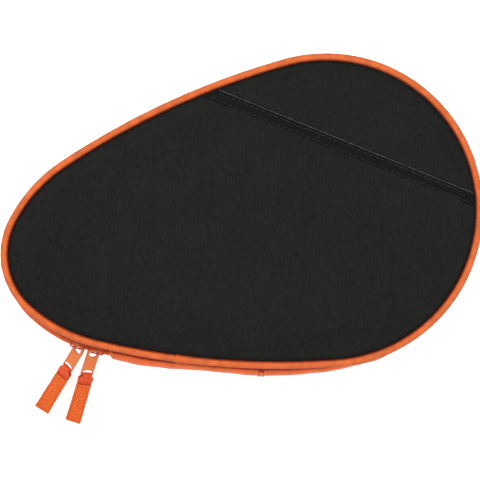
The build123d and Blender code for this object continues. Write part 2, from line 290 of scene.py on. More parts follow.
def tubes(name, paths, radii, material, sides=6, closed=False):
    """Round threads or wires along paths of equal length, tapered by radii, in one piece."""
    paths = np.asarray(paths, float)
    count, stations = paths.shape[:2]
    ahead = np.roll(paths, -1, 1) - np.roll(paths, 1, 1)
    if not closed:
        ahead[:, 0] = paths[:, 1] - paths[:, 0]
        ahead[:, -1] = paths[:, -1] - paths[:, -2]
    ahead /= np.linalg.norm(ahead, axis=-1, keepdims=True)
    reference = np.where(np.abs(ahead[..., 2:]) > 0.85, (1.0, 0.0, 0.0), (0.0, 0.0, 1.0))
    one = np.cross(ahead, reference)
    one /= np.linalg.norm(one, axis=-1, keepdims=True)
    two = np.cross(ahead, one)
    angles = np.linspace(0, tau, sides, endpoint=False)
    radius = np.broadcast_to(radii, (count, stations))[..., None, None]
    ring = one[:, :, None] * np.cos(angles)[:, None] + two[:, :, None] * np.sin(angles)[:, None]
    points = paths[:, :, None] + radius * ring
    quads, _, _ = net(stations, sides, closed, True)
    faces = (quads[None] + np.arange(count)[:, None, None] * stations * sides).reshape(-1, 4)
    faces = faces[:, ::-1].tolist()
    if not closed:
        for first in range(0, count * stations * sides, stations * sides):
            last = first + (stations - 1) * sides
            faces.append(list(range(first, first + sides)))
            faces.append(list(range(last + sides - 1, last - 1, -1)))
    return new_piece(name, points, faces, material, outward=True)


STITCH_DIP = (-1.0, 0.55, 1.0, 0.55, -1.0)
STITCH_SWELL = (0.6, 1.0, 1.05, 1.0, 0.6)


def stitches(name, starts, ends, ups, radius, material):
    """A row of stitches from starts to ends, each bowed up from the cloth at both ends."""
    starts, ends, ups = (np.asarray(x, float) for x in (starts, ends, ups))
    share = np.linspace(0, 1, len(STITCH_DIP))[None, :, None]
    lift = np.asarray(STITCH_DIP)[None, :, None] * radius
    paths = starts[:, None] * (1 - share) + ends[:, None] * share + ups[:, None] * lift
    return tubes(name, paths, radius * np.asarray(STITCH_SWELL), material)


# The back half leans out between the tail and the heel: the normals where that starts, is full,
# begins to fade and ends, and how far it goes
LEAN_NORMALS = (183.0, 240.0, 248.6, 252.0)
LEAN_SIZE = 0.0042


def heel_lean(normals):
    """How much further out the back half's edge stands."""
    first, full, last, end = LEAN_NORMALS
    turned = np.asarray(normals) % FULL_TURN
    return LEAN_SIZE * smooth((turned - first) / (full - first)) * smooth((end - turned) / (end - last))


def mirrored(points, half):
    """The same points on the front half, or mirrored on the back half."""
    points = np.array(points, float)
    if half == BACK:
        points[..., 2] = THICKNESS - points[..., 2]
    return points


def side_name(half):
    return "front" if half == FRONT else "back"


def body_name(half):
    return side_name(half) + "_half"


# Materials


def node(tree, kind, **values):
    made = tree.nodes.new(kind)
    for name, value in values.items():
        setattr(made, name, value)
    return made


def plug(tree, source, target):
    tree.links.new(source, target)


def maths(tree, operation, first, second):
    made = node(tree, "ShaderNodeMath", operation=operation)
    for socket, value in zip(made.inputs, (first, second)):
        if isinstance(value, (int, float)):
            socket.default_value = value
        else:
            plug(tree, value, socket)
    return made.outputs[0]


def new_material(name, roughness, sheen=0.0, metallic=0.0, specular=0.5, coat=0.0):
    material = bpy.data.materials.new(name)
    material.use_nodes = True
    shader = material.node_tree.nodes["Principled BSDF"]
    shader.inputs["Roughness"].default_value = roughness
    shader.inputs["Metallic"].default_value = metallic
    shader.inputs["Specular IOR Level"].default_value = specular
    shader.inputs["Sheen Weight"].default_value = sheen
    shader.inputs["Sheen Roughness"].default_value = 0.4
    shader.inputs["Coat Weight"].default_value = coat
    return material, material.node_tree, shader


def coordinates(tree, along, turn=0.0, stretch=(1, 1, 1)):
    """Places on the surface: along a swept piece and across it, or in the object's own frame."""
    if along:
        source = node(tree, "ShaderNodeUVMap", uv_map="along").outputs["UV"]
    else:
        source = node(tree, "ShaderNodeTexCoord").outputs["Object"]
    mapping = node(tree, "ShaderNodeMapping")
    mapping.inputs["Rotation"].default_value = (0, 0, turn)
    mapping.inputs["Scale"].default_value = stretch
    plug(tree, source, mapping.inputs["Vector"])
    return mapping.outputs["Vector"]


# How far apart a wave texture's bands are at scale 1
BAND = tau / 20


def bands(tree, vector, pitch, axis, distortion=0.0):
    """Smooth ridges square to an axis, this far apart."""
    wave = node(tree, "ShaderNodeTexWave", wave_type="BANDS", bands_direction=axis)
    wave.inputs["Scale"].default_value = BAND / pitch
    wave.inputs["Distortion"].default_value = distortion
    wave.inputs["Detail Scale"].default_value = 1.5
    plug(tree, vector, wave.inputs["Vector"])
    return wave.outputs["Fac"]


def speckle(tree, vector, scale, detail=2.0):
    texture = node(tree, "ShaderNodeTexNoise")
    texture.inputs["Scale"].default_value = scale
    texture.inputs["Detail"].default_value = detail
    plug(tree, vector, texture.inputs["Vector"])
    return texture.outputs["Fac"]


def ramp(tree, factor, stops):
    made = node(tree, "ShaderNodeValToRGB")
    elements = made.color_ramp.elements
    while len(elements) < len(stops):
        elements.new(0.5)
    for element, (position, colour) in zip(elements, stops):
        element.position = position
        element.color = (*colour, 1)
    plug(tree, factor, made.inputs["Fac"])
    return made.outputs["Color"]


def bump(tree, shader, height, distance, strength=1.0):
    made = node(tree, "ShaderNodeBump")
    made.inputs["Distance"].default_value = distance
    made.inputs["Strength"].default_value = strength
    plug(tree, height, made.inputs["Height"])
    plug(tree, made.outputs["Normal"], shader.inputs["Normal"])


def vary_roughness(tree, shader, factor, low, high):
    spread = node(tree, "ShaderNodeMapRange")
    spread.inputs["To Min"].default_value = low
    spread.inputs["To Max"].default_value = high
    plug(tree, factor, spread.inputs["Value"])
    plug(tree, spread.outputs["Result"], shader.inputs["Roughness"])


def tones(colour, *steps):
    """Stops of a ramp, from pairs of a place on it and a factor on the colour."""
    return [(position, tuple(c * factor for c in colour)) for position, factor in steps]


def colour_by(tree, shader, factor, colour, *steps):
    plug(tree, ramp(tree, factor, tones(colour, *steps)), shader.inputs["Base Color"])


def weighted(tree, *parts):
    """The sum of factors, each times its weight."""
    terms = [maths(tree, "MULTIPLY", factor, weight) for factor, weight in parts]
    total = terms[0]
    for term in terms[1:]:
        total = maths(tree, "ADD", total, term)
    return total


BLACK = (0.0070, 0.0076, 0.0068)
HEM_BLACK = (0.0022, 0.0026, 0.0028)
# A painted highlight: the pale grey of the pocket fold's edge where it catches the light
FOLD_HIGHLIGHT_BLACK = (0.075, 0.078, 0.076)
LINING_BLACK = (0.010, 0.010, 0.011)
ORANGE = (0.570, 0.108, 0.022)
GUSSET_ORANGE = (0.645, 0.114, 0.025)
# Painted light: brighter than the piping's orange, offsetting the shade the tape lies in under the piping;
# the coil teeth share it
TAPE_ORANGE = (0.660, 0.104, 0.024)
STRAP_ORANGE = (0.635, 0.102, 0.012)
# Painted shade: a darker, redder copy of the strap's orange for the loop round the bar, where the cloth turns
# away from the light
SHADED_FOLD_ORANGE = (0.600, 0.066, 0.012)
METAL_ORANGE = (0.640, 0.158, 0.040)
# Painted shade: a darker red copy of the orange paint for the slider bodies and bails, for the shade they sit
# in
SHADED_METAL_ORANGE = (0.500, 0.052, 0.020)
# The dark brown that the paint turns to at the sharpest edges
EDGE_BROWN = (0.16, 0.10, 0.07)
THREAD_RED = (0.42, 0.035, 0.008)
THREAD_BLACK = (0.024, 0.024, 0.023)
THREAD_ORANGE = tuple(c * 0.9 for c in ORANGE)
CORD_WHITE = (0.74, 0.73, 0.69)
FOAM_GREY = (0.20, 0.20, 0.21)
GRAIN_TURN = radians(10)
YARN_STREAKS = (1300, 280, 600)


def woven(name, colour, pitch, turn=0.0, depth=0.00006, contrast=0.25):
    """A plain weave: two sets of threads, long streaks of heavier yarn, and a faint cloudiness."""
    material, tree, shader = new_material(name, 0.55, 0.05, specular=0.10)
    vector = coordinates(tree, False, turn)
    warp, weft = (bands(tree, vector, pitch, axis, 1.2) for axis in "XY")
    flat = maths(tree, "MULTIPLY", warp, weft)
    upright = maths(tree, "MULTIPLY", warp, bands(tree, vector, pitch, "Z"))
    weave = maths(tree, "MAXIMUM", flat, upright)
    streaks = speckle(tree, coordinates(tree, False, turn, YARN_STREAKS), 1.0)
    cloud = speckle(tree, vector, 35.0)
    mix = weighted(tree, (weave, 0.15), (streaks, 0.7), (cloud, 0.15))
    colour_by(tree, shader, mix, colour, (0.33, 1 - contrast), (0.47, 1), (0.62, 1 + contrast))
    vary_roughness(tree, shader, mix, 0.55, 0.8)
    bump(tree, shader, weighted(tree, (weave, 1.0), (streaks, 0.8)), depth)
    return material


def across_share(tree):
    """Where a point lies across a swept piece, from 0 to 1."""
    split = node(tree, "ShaderNodeSeparateXYZ")
    plug(tree, node(tree, "ShaderNodeUVMap", uv_map="share").outputs["UV"], split.inputs[0])
    return split.outputs["Y"]


def twill(name, colour, pitch, turn, depth, painted_shading, rib, contrast, cloud_scale=180.0):
    """Orange cloth on a swept piece: faint ribs, a cloudiness, and painted light and shade that change across
    it.

    The painted light and shade is a list of (share of the way across, factor on the colour).
    """
    material, tree, shader = new_material(name, 0.6, 0.08, specular=0.2)
    vector = coordinates(tree, True, turn)
    ribs = bands(tree, vector, pitch, "X", 2.5)
    cross = bands(tree, vector, pitch / 2, "Y", 1.0)
    cloud = speckle(tree, coordinates(tree, True), cloud_scale)
    mix = weighted(tree, (ribs, rib), (cloud, 1 - rib))
    cloth = ramp(tree, mix, tones(colour, (0.3, 1 - contrast), (0.5, 1), (0.7, 1 + contrast)))
    blend = node(tree, "ShaderNodeMix", data_type="RGBA", blend_type="MULTIPLY")
    blend.inputs["Factor"].default_value = 1.0
    plug(tree, cloth, blend.inputs["A"])
    # Painted light and shade across the piece, multiplied into the cloth's colour
    plug(tree, ramp(tree, across_share(tree), painted_shading), blend.inputs["B"])
    plug(tree, blend.outputs["Result"], shader.inputs["Base Color"])
    vary_roughness(tree, shader, mix, 0.5, 0.75)
    bump(tree, shader, weighted(tree, (ribs, 1.0), (cross, 0.4)), depth)
    return material


def herringbone(name, colour, pitch, width, depth):
    """Tape: ribs that slant one way on one half of each stripe and the other way on the other."""
    material, tree, shader = new_material(name, 0.65, 0.08, specular=0.2)
    vector = coordinates(tree, True)
    split = node(tree, "ShaderNodeSeparateXYZ")
    plug(tree, vector, split.inputs[0])
    zig = maths(tree, "PINGPONG", split.outputs["Y"], width)
    slanted = node(tree, "ShaderNodeCombineXYZ")
    plug(tree, maths(tree, "ADD", split.outputs["X"], zig), slanted.inputs["X"])
    ribs = bands(tree, slanted.outputs[0], pitch, "X")
    mix = weighted(tree, (ribs, 0.5), (speckle(tree, vector, 150.0), 0.5))
    colour_by(tree, shader, mix, colour, (0.2, 0.78), (0.55, 1), (0.85, 1.12))
    bump(tree, shader, ribs, depth)
    return material


def webbing(name, colour):
    """Ribbed strap cloth, mottled where its loops catch the light."""
    material, tree, shader = new_material(name, 0.62, 0.1, specular=0.2)
    vector = coordinates(tree, True)
    ribs = bands(tree, vector, 0.0011, "X", 2.0)
    cords = bands(tree, vector, 0.0008, "Y", 1.5)
    mottle = speckle(tree, coordinates(tree, True, 0.0, (1.0, 0.8, 1.0)), 760.0, 3.0)
    mix = weighted(tree, (ribs, 0.25), (mottle, 0.75))
    colour_by(tree, shader, mix, colour, (0.34, 0.72), (0.5, 1), (0.66, 1.3))
    height = weighted(tree, (maths(tree, "MULTIPLY", ribs, cords), 1.0), (mottle, 1.5))
    bump(tree, shader, height, 0.00012)
    return material


def thread(name, colour):
    """Twisted sewing thread."""
    material, tree, shader = new_material(name, 0.5, 0.05, specular=0.25)
    ply = bands(tree, coordinates(tree, False, radians(35)), 0.0005, "X", 1.0)
    colour_by(tree, shader, ply, colour, (0.2, 0.65), (0.8, 1.2))
    bump(tree, shader, ply, 0.00005)
    return material


def painted_metal(name, colour):
    """Cast metal under matt paint, a little thicker in places and darker and browner along its edges."""
    material, tree, shader = new_material(name, 0.42, specular=0.3, coat=0.05)
    shader.inputs["Coat Roughness"].default_value = 0.3
    vector = coordinates(tree, False)
    edge = node(tree, "ShaderNodeBevel", samples=4)
    edge.inputs["Radius"].default_value = 0.0006
    geometry = node(tree, "ShaderNodeNewGeometry")
    facing = node(tree, "ShaderNodeVectorMath", operation="DOT_PRODUCT")
    plug(tree, edge.outputs["Normal"], facing.inputs[0])
    plug(tree, geometry.outputs["Normal"], facing.inputs[1])
    # How sharply the surface turns at an edge; the colour darkens there
    edge_factor = maths(tree, "SUBTRACT", 1.0, facing.outputs["Value"])
    patches = speckle(tree, vector, 900.0, 3.0)
    edge_darkening = maths(tree, "MULTIPLY", maths(tree, "MULTIPLY", edge_factor, 16.0), patches)
    stops = tones(colour, (0.05, 1), (0.35, 0.6)) + [(0.9, EDGE_BROWN)]
    plug(tree, ramp(tree, edge_darkening, stops), shader.inputs["Base Color"])
    cloud = speckle(tree, vector, 1500.0)
    vary_roughness(tree, shader, cloud, 0.3, 0.48)
    bump(tree, shader, cloud, 0.00002)
    return material


def nylon_coil(name, colour):
    """Smooth drawn monofilament, slightly streaked."""
    material, tree, shader = new_material(name, 0.35)
    streaks = speckle(tree, coordinates(tree, False), 900.0)
    colour_by(tree, shader, streaks, colour, (0.3, 0.85), (0.7, 1.1))
    vary_roughness(tree, shader, streaks, 0.28, 0.42)
    bump(tree, shader, streaks, 0.00001)
    return material


def cellular(name, colour, scale, depth, roughness):
    """Foam cells, or the loose strands of a soft cord."""
    material, tree, shader = new_material(name, roughness)
    cells = node(tree, "ShaderNodeTexVoronoi")
    cells.inputs["Scale"].default_value = scale
    plug(tree, coordinates(tree, False), cells.inputs["Vector"])
    colour_by(tree, shader, cells.outputs["Distance"], colour, (0.0, 0.6), (0.6, 1))
    bump(tree, shader, cells.outputs["Distance"], depth)
    return material


FLOOR_GLOW = 0.6


def plain_floor():
    """White paper that glows a little."""
    material, tree, shader = new_material("floor_paper", 0.9, specular=0.1)
    grain = speckle(tree, coordinates(tree, False), 40.0)
    colour_by(tree, shader, grain, (1, 1, 1), (0.3, 0.93), (0.7, 0.96))
    shader.inputs["Emission Color"].default_value = (1, 1, 1, 1)
    shader.inputs["Emission Strength"].default_value = FLOOR_GLOW
    return material


# Painted light and shade across a piece, as factors on the colour: a painted highlight along the piping's
# crest, painted shade down its outer side and in the crevice along its inner edge, and painted shade along a
# gusset's seams
CREST_HIGHLIGHT = (1.04, 1.08, 1.15)
PLAIN = (1.0, 1.0, 1.0)
SIDE_SHADE = (0.72, 0.74, 0.70)
CREVICE_SHADE = (0.42, 0.20, 0.15)
PIPING_LIGHT_AND_SHADE = (
    (0.04, CREVICE_SHADE), (0.09, SIDE_SHADE), (0.16, PLAIN), (0.25, CREST_HIGHLIGHT), (0.33, PLAIN), (0.41, CREVICE_SHADE),
    (0.59, CREVICE_SHADE), (0.67, PLAIN), (0.75, CREST_HIGHLIGHT), (0.84, PLAIN), (0.91, SIDE_SHADE), (0.96, CREVICE_SHADE),
)
# The back piping keeps only the painted shade in the crevice along its inner edge
BACK_PIPING_SHADE = ((0.32, PLAIN), (0.42, CREVICE_SHADE), (0.58, CREVICE_SHADE), (0.68, PLAIN))
GUSSET_SEAM_SHADE = ((0.035, CREVICE_SHADE), (0.062, PLAIN), (0.938, PLAIN), (0.965, CREVICE_SHADE))

WEAVE = 0.0009
BIAS = (0.0016, radians(38), 0.00008)

black_nylon = woven("black_nylon_cloth", BLACK, WEAVE, GRAIN_TURN, contrast=0.5)
fold_highlight_nylon = woven("black_fold_highlight_cloth", FOLD_HIGHLIGHT_BLACK, WEAVE, GRAIN_TURN, contrast=0.45)
black_lining = woven("black_lining_cloth", LINING_BLACK, 0.0006, depth=0.00004)
hem_nylon = woven("black_hem_cloth", HEM_BLACK, WEAVE, GRAIN_TURN, contrast=0.6)
bias_nylon = {
    FRONT: twill("orange_bias_cloth", ORANGE, *BIAS, PIPING_LIGHT_AND_SHADE, 0.15, 0.2),
    # The back piping takes the brighter gusset orange instead of the piping's own orange, offsetting the
    # shade it lies in: painted light
    BACK: twill("orange_back_bias_cloth", GUSSET_ORANGE, *BIAS, BACK_PIPING_SHADE, 0.15, 0.2),
}
gusset_nylon = twill("orange_gusset_cloth", GUSSET_ORANGE, WEAVE, 0.0, 0.00005, GUSSET_SEAM_SHADE, 0.12, 0.17, 70.0)
tape_weave = herringbone("orange_tape_weave", TAPE_ORANGE, 0.0007, 0.0018, 0.00008)
strap_weave = webbing("orange_strap_weave", STRAP_ORANGE)
shaded_fold_weave = webbing("orange_shaded_fold_weave", SHADED_FOLD_ORANGE)
orange_thread = thread("orange_sewing_thread", THREAD_ORANGE)
dark_thread = thread("red_sewing_thread", THREAD_RED)
black_thread = thread("black_sewing_thread", THREAD_BLACK)
orange_paint = painted_metal("orange_painted_metal", METAL_ORANGE)
shaded_orange_paint = painted_metal("shaded_orange_painted_metal", SHADED_METAL_ORANGE)
orange_filament = nylon_coil("orange_coil_filament", TAPE_ORANGE)
white_cord = cellular("white_piping_cord", CORD_WHITE, 900.0, 0.0001, 0.8)
grey_foam = cellular("grey_panel_foam", FOAM_GREY, 1200.0, 0.0002, 0.9)


# Camera, lights and floor

FRAME_WIDTH = 0.2976
VIEW_CENTRE = Vector((-0.0023, -0.0089, 0.035))
VIEW_ROLL = radians(10)
VIEW_DISTANCE = 2.3
SENSOR = 36.0


def add_camera():
    """Looks straight down on the front panel, with the case turned by the roll."""
    right = Vector((cos(VIEW_ROLL), -sin(VIEW_ROLL), 0))
    back = Vector((0, 0, 1))
    data = bpy.data.cameras.new("camera")
    data.sensor_width = SENSOR
    data.lens = SENSOR * VIEW_DISTANCE / FRAME_WIDTH
    camera = bpy.data.objects.new("camera", data)
    camera.matrix_world = Matrix((right, back.cross(right), back)).transposed().to_4x4()
    camera.location = VIEW_CENTRE + back * VIEW_DISTANCE
    bpy.context.scene.collection.objects.link(camera)
    bpy.context.scene.camera = camera


def add_light(name, location, size, power):
    data = bpy.data.lights.new(name, "AREA")
    data.shape = "DISK"
    data.size = size
    data.energy = power
    light = bpy.data.objects.new(name, data)
    light.location = location
    light.rotation_mode = "QUATERNION"
    light.rotation_quaternion = (-Vector(location)).to_track_quat("-Z", "Y")
    bpy.context.scene.collection.objects.link(light)


def add_studio():
    world = bpy.data.worlds.new("studio")
    world.use_nodes = True
    background = world.node_tree.nodes["Background"]
    background.inputs["Color"].default_value = (1, 1, 1, 1)
    background.inputs["Strength"].default_value = 0.85
    bpy.context.scene.world = world
    bpy.context.scene.view_settings.view_transform = "Standard"
    add_light("key", (-0.5, 0.7, 1.3), 0.8, 11.0)
    add_light("fill", (0.8, -0.5, 1.2), 1.0, 6.0)
    size = 4.0
    corners = [(-size, -size, 0), (size, -size, 0), (size, size, 0), (-size, size, 0)]
    floor = new_piece("floor", corners, [(0, 1, 2, 3)], plain_floor())


# Padded panels

RIM = 0.006
SKIN_EDGE = -0.00035
SKIN_BOTTOM = 0.0338
SKIN_THICK = 0.0006
ROLL_STEPS = 8
PAD_CENTRE = np.array((0.004, 0.0, 0.0))
PINNED = "pinned"


def disc(cells):
    """Each point of a square net as its share of the way to the rim and its place round the rim."""
    u, v = np.meshgrid(np.linspace(-1, 1, cells + 1), np.linspace(-1, 1, cells + 1))
    share = np.maximum(np.abs(u), np.abs(v))
    safe = np.where(share > 0, share, 1)
    a, b = u / safe, v / safe
    edge = 1 - 1e-9
    sides = [a >= edge, b >= edge, a <= -edge]
    turns = [(b + 1) / 8, 0.25 + (1 - a) / 8, 0.5 + (1 - b) / 8]
    return share.ravel(), np.select(sides, turns, 0.75 + (a + 1) / 8).ravel()


def rim_order(cells):
    """The net's outer points, counter-clockwise from its lower right corner."""
    side = cells + 1
    right = [row * side + cells for row in range(cells)]
    top = [cells * side + column for column in range(cells, 0, -1)]
    left = [row * side for row in range(cells, 0, -1)]
    bottom = list(range(cells))
    return np.array(right + top + left + bottom)


def pad(name, cells, top, crown, roll, material, inward=False, lean=0.0):
    """An egg-shaped cloth: a net inside the rim, then rings that follow roll, a list of (offset, height)."""
    share, turn = disc(cells)
    normals = normal_at(length_at(0) + (turn - 0.125) * PERIMETER)
    rim_points = place(normals, -RIM, top)
    centre = PAD_CENTRE + (0, 0, top)
    points = centre + share[:, None] * (rim_points - centre)
    points[:, 2] += crown * (1 - share**2)
    order = rim_order(cells)
    rings = [order]
    stacked = [points]
    for ring, (offset, height) in enumerate(roll):
        turned_out = lean * heel_lean(normals[order]) * (1 + offset / RIM)
        stacked.append(place(normals[order], offset + turned_out, height))
        rings.append(len(points) + ring * len(order) + np.arange(len(order)))
    faces = net(cells + 1, cells + 1, False, False)[0][:, ::-1].tolist()
    for near, far in zip(rings, rings[1:]):
        ahead_near, ahead_far = np.roll(near, -1), np.roll(far, -1)
        faces += np.stack([near, far, ahead_far, ahead_near], 1).tolist()
    if inward:
        faces = [f[::-1] for f in faces]
    obj = new_piece(name, np.concatenate(stacked), faces, material)
    up_on_average = sum(p.normal.z for p in obj.data.polygons) > 0
    if up_on_average == inward:
        obj.data.flip_normals()
    return obj


SEAM_ALLOWANCE = [(0.0001, 0.0330), (0.0012, 0.0325)]


def skin_roll(top):
    """The way a skin turns down from its rim to the seam beside the piping."""
    angles = [pi / 2 * step / ROLL_STEPS for step in range(1, ROLL_STEPS + 1)]
    return [(-RIM + (RIM + SKIN_EDGE) * sin(a), top - (top - SKIN_BOTTOM) * (1 - cos(a))) for a in angles]


PUFF_PRESSURE = 3.0
PUFF_FRAMES = 20
PUFF_CAP = 0.0011
SIDEWAYS = 0.25
SEWN_EDGE = 0.0016


def puff(obj, free, growth):
    """Cloth simulation of a padded cover, sewn down where free is false. No point rises past PUFF_CAP."""
    pinned = obj.vertex_groups.new(name=PINNED)
    pinned.add(np.flatnonzero(~free).tolist(), 1.0, "REPLACE")
    cloth = obj.modifiers.new("Cloth", "CLOTH")
    cloth.settings.quality = 6
    cloth.settings.mass = 0.02
    cloth.settings.tension_stiffness = 12
    cloth.settings.compression_stiffness = 12
    cloth.settings.shear_stiffness = 4
    cloth.settings.bending_stiffness = 0.05
    cloth.settings.air_damping = 3
    cloth.settings.use_pressure = True
    cloth.settings.uniform_pressure_force = PUFF_PRESSURE
    cloth.settings.shrink_min = -growth
    cloth.settings.vertex_group_mass = PINNED
    cloth.settings.effector_weights.gravity = 0
    cloth.point_cache.frame_start = 1
    cloth.point_cache.frame_end = PUFF_FRAMES
    rest = points_of(obj)
    for step in range(1, PUFF_FRAMES + 1):
        bpy.context.scene.frame_set(step)
    evaluated = obj.evaluated_get(bpy.context.evaluated_depsgraph_get())
    moved = points_of(evaluated) - rest
    reach = np.linalg.norm(moved, axis=1) * 1000
    moved[:, :2] *= SIDEWAYS
    moved[:, 2] = np.clip(moved[:, 2], 0, PUFF_CAP)
    obj.modifiers.clear()
    obj.vertex_groups.clear()
    set_points(obj, rest + moved)
    bpy.context.scene.frame_set(1)
    print(f"{obj.name}: simulated, largest move {reach.max():.2f} mm, mean {reach.mean():.2f} mm")


def flip_half(obj, half):
    """Mirrors a finished front piece onto the back half."""
    if half == BACK:
        obj.data.transform(Matrix.Translation((0, 0, THICKNESS)) @ Matrix.Scale(-1, 4, (0, 0, 1)))
        obj.data.flip_normals()


CELLS = 84
FRONT_SKIN_TOP = 0.0371
OUTER_SKIN_TOP = 0.0377
CROWN = 0.0004
EDGE_DIMPLE = 0.00022


def soften(obj, seed, amount, size, limit=np.inf):
    """Slow waves and small dimples beside the seam, as sewn cloth over foam has."""
    points = points_of(obj)
    depth = -offset_of(points)
    waves = rough(points, (size, size, size), seed) * amount * smooth(depth / 0.012)
    dimple_place = smooth((depth - 0.0006) / 0.003) * (1 - smooth((depth - 0.004) / 0.010))
    dimples = rough(points, (0.0085, 0.0085, 1.0), seed + 1) * EDGE_DIMPLE * dimple_place
    points[:, 2] = np.minimum(points[:, 2] + (waves + dimples), limit)
    set_points(obj, points)


def free_points(obj):
    """Points away from the sewn edge."""
    return offset_of(points_of(obj)) < -SEWN_EDGE


def panel_skin(half):
    """The padded outer cloth of one half. The back one stays flat, as the case lies on it."""
    top, crown, lean, limit = FRONT_SKIN_TOP, CROWN, 0.0, np.inf
    if half == BACK:
        top, crown, lean, limit = OUTER_SKIN_TOP, 0.0, 1.0, THICKNESS
    roll = skin_roll(top) + SEAM_ALLOWANCE
    obj = pad(f"{side_name(half)}_panel_skin", CELLS, top, crown, roll, black_nylon, lean=lean)
    puff(obj, free_points(obj), 0.004)
    soften(obj, 3 + half, 0.00018, 0.045, limit)
    subdivide(obj)
    points = points_of(obj)
    points[:, 2] = np.minimum(points[:, 2], limit)
    set_points(obj, points)
    thicken(obj, SKIN_THICK)
    flip_half(obj, half)
    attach(obj, body_name(half))
    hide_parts(f"{side_name(half)}_panel")
    return obj


# Front pocket

POCKET_ANGLE = radians(-32.1)
MOUTH_POINT = np.array((0.0744, 0.0391))
MOUTH_ALONG = np.array((cos(POCKET_ANGLE), sin(POCKET_ANGLE)))
MOUTH_BELOW = np.array((sin(POCKET_ANGLE), -cos(POCKET_ANGLE)))
HEM_WIDTH = 0.0076
HEM_RISE = 0.0007
HEM_FADE = 0.0016
HEM_SINK = 0.00012
FOLD_ROUND = 0.0008
DENT_WIDTH = 0.0007
DENT_DEPTH = 0.00022

# The deepest pucker that keeps the hem above the pocket's cloth
PUCKER_FLOOR = -0.00026
HEM_END = -0.0009
STITCH_ROWS = (0.0022, 0.0064)
STITCH_PITCH = 0.0040
STITCH_SHARE = 0.68
STITCH_R = 0.00021
POCKET_CUT = 0.0012

# The hem's edge tucks in under the fold: how far below the fold, and its share of the fold's height
HEM_TUCK = (0.0006, 0.0001, -0.00015, -0.0001)
TUCK_RISE = np.array((0.0, 0.1, 0.35, 0.7))


def mouth_place(along, below):
    """A place on the panel from its distances along the pocket's mouth and below its fold."""
    along, below = np.asarray(along)[..., None], np.asarray(below)[..., None]
    return MOUTH_POINT + along * MOUTH_ALONG + below * MOUTH_BELOW


def below_mouth(points):
    """How far points lie below the pocket's fold."""
    return (points[:, :2] - MOUTH_POINT) @ MOUTH_BELOW


def pocket_skin():
    """The pocket's cloth, cut off just under its folded mouth."""
    obj = pad("pocket_skin", CELLS, OUTER_SKIN_TOP, CROWN, skin_roll(OUTER_SKIN_TOP), black_nylon)
    edit = bmesh.new()
    edit.from_mesh(obj.data)
    cut = Vector((*(MOUTH_POINT + MOUTH_BELOW * POCKET_CUT), 0))
    everything = [*edit.verts, *edit.edges, *edit.faces]
    bmesh.ops.bisect_plane(edit, geom=everything, plane_co=cut, plane_no=(*MOUTH_BELOW, 0), clear_inner=True)
    edit.to_mesh(obj.data)
    edit.free()
    puff(obj, free_points(obj) & (below_mouth(points_of(obj)) > HEM_WIDTH), 0.005)
    soften(obj, 9, 0.0002, 0.05)
    subdivide(obj)
    thicken(obj, SKIN_THICK - 0.0001)
    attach(obj, "front_half")
    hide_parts("pocket_panel")
    return obj


def mouth_span(below, margin):
    """First and last place along the mouth, this far below its fold, that lie inside the panel."""
    reach = np.linspace(-0.12, 0.12, 2401)
    inside = reach[offset_of(mouth_place(reach, below)) < margin]
    return inside[0], inside[-1]


def hem_rise(along, below):
    """The folded band's height over the pocket's cloth, with its puckers between the stitches."""
    fold = round_end(below / FOLD_ROUND)
    tail = 1 - smooth((below - HEM_WIDTH + HEM_FADE / 2) / HEM_FADE)
    base = HEM_RISE * fold * tail - HEM_SINK * (1 - tail)
    spot = np.stack([along, below, np.zeros_like(along)], -1)
    pucker = uneven(spot, ((0.0034, 0.0055, 1.0), 21, 0.00032), ((0.0016, 0.004, 1.0), 22, 0.00014))
    pucker = np.maximum(pucker, PUCKER_FLOOR)
    sewn = sum(np.exp(-(((below - row) / DENT_WIDTH) ** 2)) for row in STITCH_ROWS)
    held = smooth(below / 0.0012) * smooth((HEM_WIDTH + 0.0003 - below) / 0.0012)
    return base + held * (pucker * (1 - 0.5 * sewn) - DENT_DEPTH * sewn)


def pocket_hem(tree, under):
    """The folded mouth: a band with a round front edge that runs back into the pocket's cloth."""
    rows = np.linspace(0, 1, 230)
    below = np.concatenate([HEM_TUCK, np.linspace(0.0, 0.0012, 5), np.linspace(0.0016, 0.0086, 20)])
    spans = np.array([mouth_span(b, HEM_END) for b in np.maximum(below, 0)])
    along = spans[:, 0] + rows[:, None] * (spans[:, 1] - spans[:, 0])
    flat = mouth_place(along, below[None, :])
    inner = mouth_place(along, np.maximum(below, 0.0016)[None, :])
    ground = np.array([[height_on(tree, x, y, OUTER_SKIN_TOP) for x, y in row] for row in inner])
    lower = np.array([[height_on(under, x, y, FRONT_SKIN_TOP) for x, y in row] for row in inner])
    height = ground + hem_rise(along, np.broadcast_to(np.maximum(below, 0), along.shape))
    tucked = len(HEM_TUCK)
    base = lower[:, :tucked] + 0.0001
    height[:, :tucked] = base + (height[:, tucked:tucked + 1] - lower[:, :tucked]) * TUCK_RISE
    points = np.concatenate([flat, height[..., None]], -1)
    obj = swept("pocket_hem_band", points, hem_nylon, loop_section=False)
    if sum(p.normal.z for p in obj.data.polygons) < 0:
        obj.data.flip_normals()
    thicken(obj, 0.0003)
    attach(obj, "front_half")
    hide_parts("pocket_hem")
    return obj


FOLD_RIM_R = 0.00034


